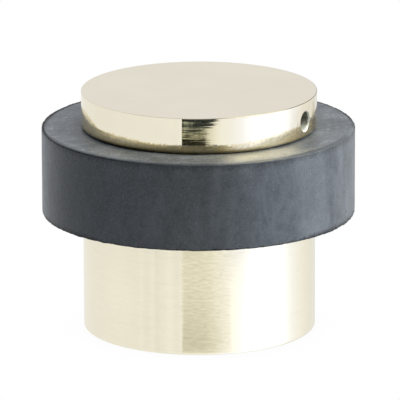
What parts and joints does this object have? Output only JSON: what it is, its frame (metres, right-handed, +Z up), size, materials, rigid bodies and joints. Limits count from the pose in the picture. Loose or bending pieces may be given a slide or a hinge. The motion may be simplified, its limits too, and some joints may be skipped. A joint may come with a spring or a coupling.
{
  "type": "door stop",
  "caption": "Floor-mounted cylindrical door stop: brass base and cap with a rubber buffer ring between them, fixed by a hidden floor screw.",
  "frame": {"origin": "centre of the underside, where the base rests on the floor", "axes": "+Z up along the stop's axis of revolution; -Y faces the viewer; the rim hole in the cap points 63.4 degrees from -Y towards +X"},
  "size_m": [0.045, 0.045, 0.035],
  "materials": {
    "turned_brass": "pale brass, satin, with fine turning lines round the drum",
    "polished_brass": "pale brass, polished to a soft mirror",
    "buffer_rubber": "dark blue-grey moulded rubber, matt, dusty specks and faint smears",
    "grub_steel": "dark oiled steel",
    "zinc_steel": "bright zinc plate on steel",
    "washer_steel": "zinc plate, slightly dull"
  },
  "bodies": {
    "base": {"base_body": "turned_brass", "screw_washer": "washer_steel"},
    "ring": {"rubber_ring": "buffer_rubber"},
    "cap": {"cap": "polished_brass"},
    "grub_screw": {"cap_grub_screw": "grub_steel"},
    "floor_screw": {"floor_screw": "zinc_steel"}
  },
  "joints": [
    {"name": "ring_spin", "type": "hinge", "parent": "base", "child": "ring", "pos_m": [0, 0, 0.0235], "axis": [0, 0, 1], "continuous": true},
    {"name": "cap_lift", "type": "slide", "parent": "base", "child": "cap", "axis": [0, 0, 1], "range_m": [0, 0.022]},
    {"name": "grub_screw_travel", "type": "slide", "parent": "cap", "child": "grub_screw", "axis": [0.8942, -0.4478, 0], "range_m": [0, 0.003]},
    {"name": "floor_screw_drive", "type": "slide", "parent": "base", "child": "floor_screw", "axis": [0, 0, -1], "range_m": [0, 0.02525]}
  ]
}
